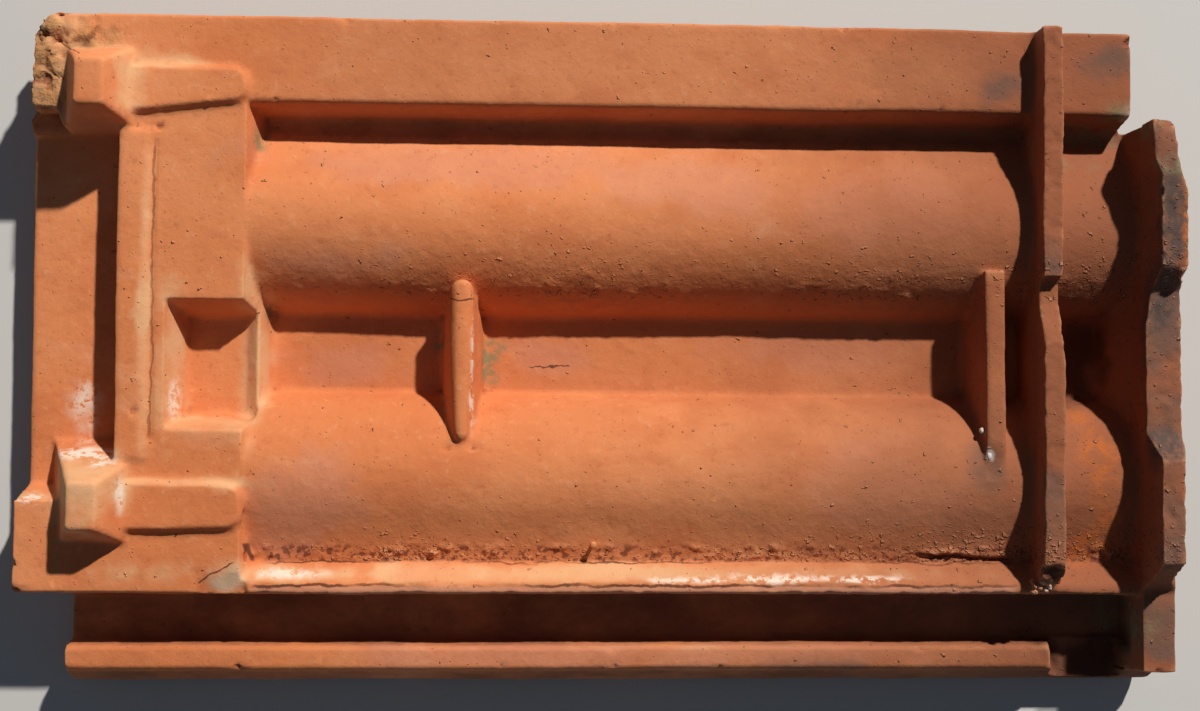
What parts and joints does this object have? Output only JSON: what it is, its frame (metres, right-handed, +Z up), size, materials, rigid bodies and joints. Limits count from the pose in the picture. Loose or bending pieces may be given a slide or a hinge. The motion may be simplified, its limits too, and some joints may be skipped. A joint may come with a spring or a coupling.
{
  "type": "clay roof tile",
  "caption": "Interlocking double-trough clay roof tile, seen from its ribbed underside, with batten nibs, a stiffening lug, a foot rib and rim, and side locks.",
  "frame": {"origin": "centre of the bounding box's bottom face, on the floor under the ridges of the weather side", "axes": "+X along the length from head to foot, +Y across towards the underlap flange, +Z up out of the underside, the tile lying weather side down"},
  "size_m": [0.422, 0.2438, 0.056],
  "materials": {
    "clay": "matte"
  },
  "bodies": {
    "root": {"roof_tile": "clay"}
  },
  "joints": []
}
